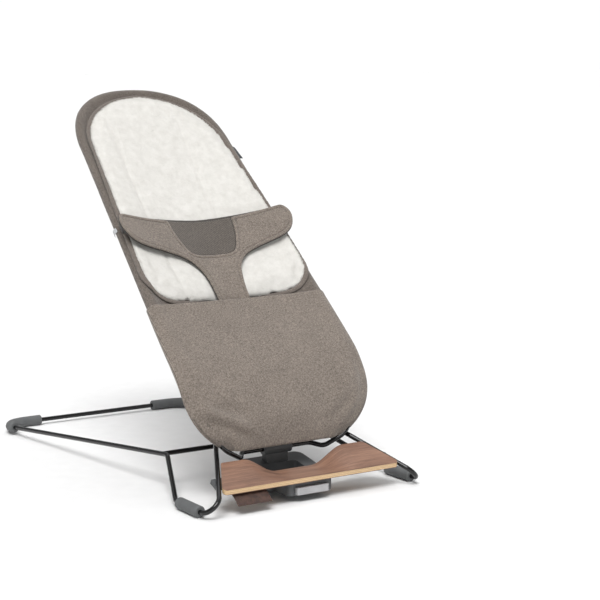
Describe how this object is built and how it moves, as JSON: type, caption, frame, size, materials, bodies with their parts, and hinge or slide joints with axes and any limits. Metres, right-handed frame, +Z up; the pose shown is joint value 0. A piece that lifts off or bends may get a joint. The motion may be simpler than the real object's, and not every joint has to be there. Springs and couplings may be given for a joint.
{
  "type": "baby bouncer seat",
  "caption": "Infant bouncer seat: fabric sling on a tube loop, hinged low down on a bent wire floor frame with a wooden footplate, a recline lock and a soft T-shaped harness.",
  "frame": {"origin": "on the floor, under the centre of the bounding box", "axes": "+Z up, -Y the front where the footplate is, +X to the right when looking along +Y from the front"},
  "size_m": [0.4232, 0.779, 0.6393],
  "materials": {
    "black_wire": "glossy black lacquer",
    "tube_steel": "satin",
    "foot_rubber": "matt, faint moulded grain",
    "walnut_ply": "satin walnut face over light birch plies",
    "dark_leather": "matt dark brown",
    "dark_plastic": "fine moulded texture",
    "zinc_steel": "zinc plated",
    "grey_plastic": "satin light grey",
    "melange_fabric": "fine melange knit, taupe",
    "plush": "short white plush",
    "binding_fabric": "taupe woven binding",
    "mesh_fabric": "dark taupe twill mesh",
    "backing_fabric": "dark taupe plain weave",
    "clip_plastic": "teal grey",
    "grey_ribbon": "light grey woven ribbon",
    "dark_tag": "dark woven tag, plain"
  },
  "bodies": {
    "base": {"base_rear_bow": "black_wire", "base_side_wire_left": "black_wire", "base_side_wire_right": "black_wire", "base_bridge_bar": "black_wire", "base_cross_bar": "black_wire", "rear_foot_left": "foot_rubber", "rear_foot_right": "foot_rubber", "front_foot_left": "foot_rubber", "front_foot_right": "foot_rubber", "footplate": "walnut_ply", "leather_tab": "dark_leather", "wire_clamp_left": "dark_plastic", "wire_clamp_right": "dark_plastic", "plate_screws": "zinc_steel", "housing_lower": "dark_plastic", "housing_upper": "dark_plastic", "housing_screws": "zinc_steel", "hinge_cap": "dark_plastic", "cap_screws": "zinc_steel", "return_spring": "zinc_steel"},
    "release": {"release_handle": "grey_plastic", "release_slider": "zinc_steel", "handle_screws": "zinc_steel"},
    "pawl": {"lock_pawl": "zinc_steel", "pawl_pin": "zinc_steel"},
    "seat": {"seat_frame_tube": "tube_steel", "seat_lower_wire": "black_wire", "detent_collar": "zinc_steel", "seat_cover": "melange_fabric", "front_panel": "melange_fabric", "insert_pad": "plush", "insert_binding": "binding_fabric", "harness_panel": "melange_fabric", "harness_mesh": "mesh_fabric", "harness_backing": "backing_fabric", "harness_clip_left": "clip_plastic", "harness_clip_right": "clip_plastic", "clip_strap_left": "backing_fabric", "clip_strap_right": "backing_fabric", "ribbon_loop_left": "grey_ribbon", "ribbon_loop_right": "grey_ribbon", "side_tag": "dark_tag"}
  },
  "joints": [
    {"name": "seat_recline", "type": "hinge", "parent": "base", "child": "seat", "pos_m": [0, -0.2634, 0.065], "axis": [1, 0, 0], "range_deg": [-48, 0]},
    {"name": "release_slide", "type": "slide", "parent": "base", "child": "release", "axis": [0, -1, 0], "range_m": [0, 0.008], "stiffness_N_per_m": 900, "springref_m": -0.004, "deforming": ["return_spring"]},
    {"name": "pawl_slide", "type": "slide", "parent": "base", "child": "pawl", "axis": [0, 0, -1], "range_m": [0, 0.003]}
  ],
  "couplings": [
    {"joint": "pawl_slide", "follows": "release_slide", "ratio": 0.375}
  ]
}
